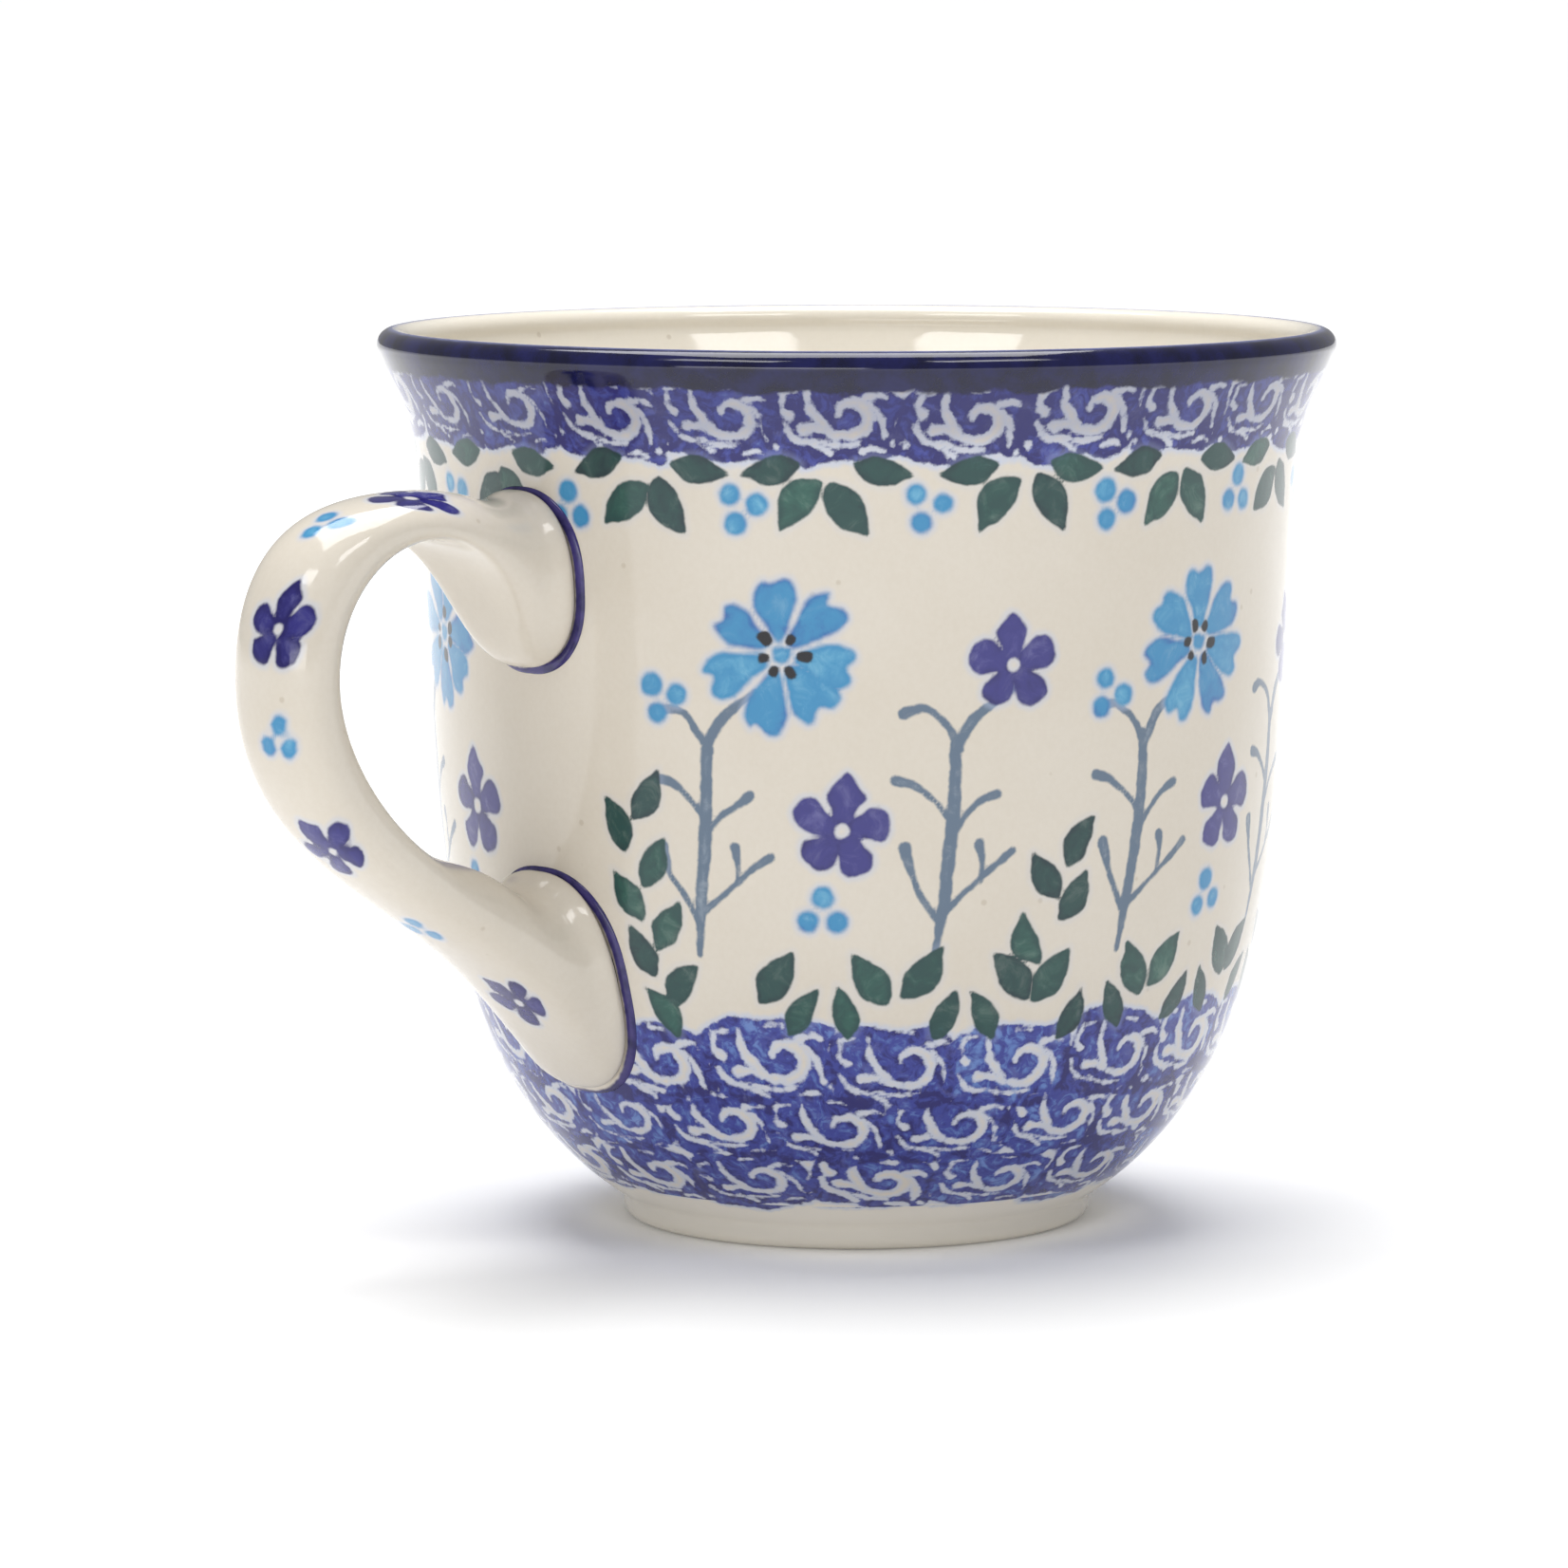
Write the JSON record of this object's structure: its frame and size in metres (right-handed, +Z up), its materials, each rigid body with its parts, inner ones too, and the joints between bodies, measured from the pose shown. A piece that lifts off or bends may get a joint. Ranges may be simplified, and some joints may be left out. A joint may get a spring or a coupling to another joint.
{
  "type": "stoneware mug",
  "caption": "Tulip-shaped glazed stoneware mug with a flared rim, a strap handle luted to the wall and a small foot ring.",
  "frame": {"origin": "where the cup's own axis meets the plane that the foot ring stands on", "axes": "+Z up along the cup's axis, the handle points along -X, and Y runs across the handle"},
  "size_m": [0.117, 0.09, 0.084],
  "materials": {
    "bare_clay": "matt fired stoneware",
    "cobalt_slip": "gloss over cobalt",
    "clear_glaze": "clear gloss over cream clay",
    "painted_glaze": "clear gloss over stamped folk flowers, leaves and blue scroll bands",
    "cobalt_glaze": "gloss cobalt",
    "handle_glaze": "clear gloss over cream clay with small stamped flowers"
  },
  "bodies": {
    "root": {"cup_body": "bare_clay", "handle": "bare_clay", "upper_slip_joint": "cobalt_slip", "lower_slip_joint": "cobalt_slip", "inner_glaze": "clear_glaze", "outer_glaze": "painted_glaze", "rim_band": "cobalt_glaze", "handle_glaze": "handle_glaze"}
  },
  "joints": []
}
